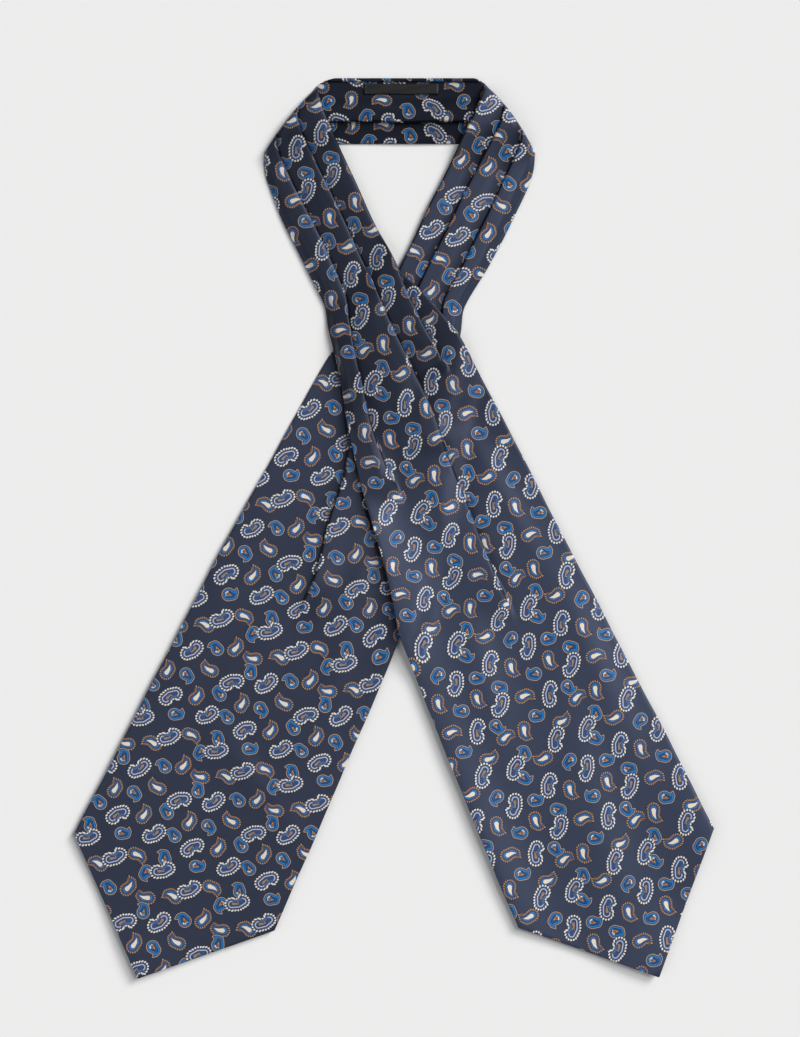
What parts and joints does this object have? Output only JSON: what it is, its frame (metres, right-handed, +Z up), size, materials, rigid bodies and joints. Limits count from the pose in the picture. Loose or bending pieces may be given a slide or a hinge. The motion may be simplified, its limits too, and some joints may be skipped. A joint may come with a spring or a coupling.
{
  "type": "silk cravat",
  "caption": "Silk day cravat laid flat: pleated strips lead from the neck band, cross below the opening and widen into pointed blades that are tied under a collar.",
  "frame": {"origin": "middle of the outline, on the surface the cravat lies on", "axes": "+X to the right and +Y up the garment towards the neck band, +Z up off the surface"},
  "size_m": [0.4182, 0.5885, 0.0104],
  "materials": {
    "silk_over": "satin-woven navy silk with small paisleys",
    "silk_under": "satin-woven navy silk with small paisleys",
    "silk_band": "satin-woven navy silk with small paisleys, inner side",
    "label_satin": "plain black satin ribbon"
  },
  "bodies": {
    "root": {"strip_over": "silk_over", "strip_under": "silk_under", "neck_band": "silk_band", "label": "label_satin"}
  },
  "joints": []
}
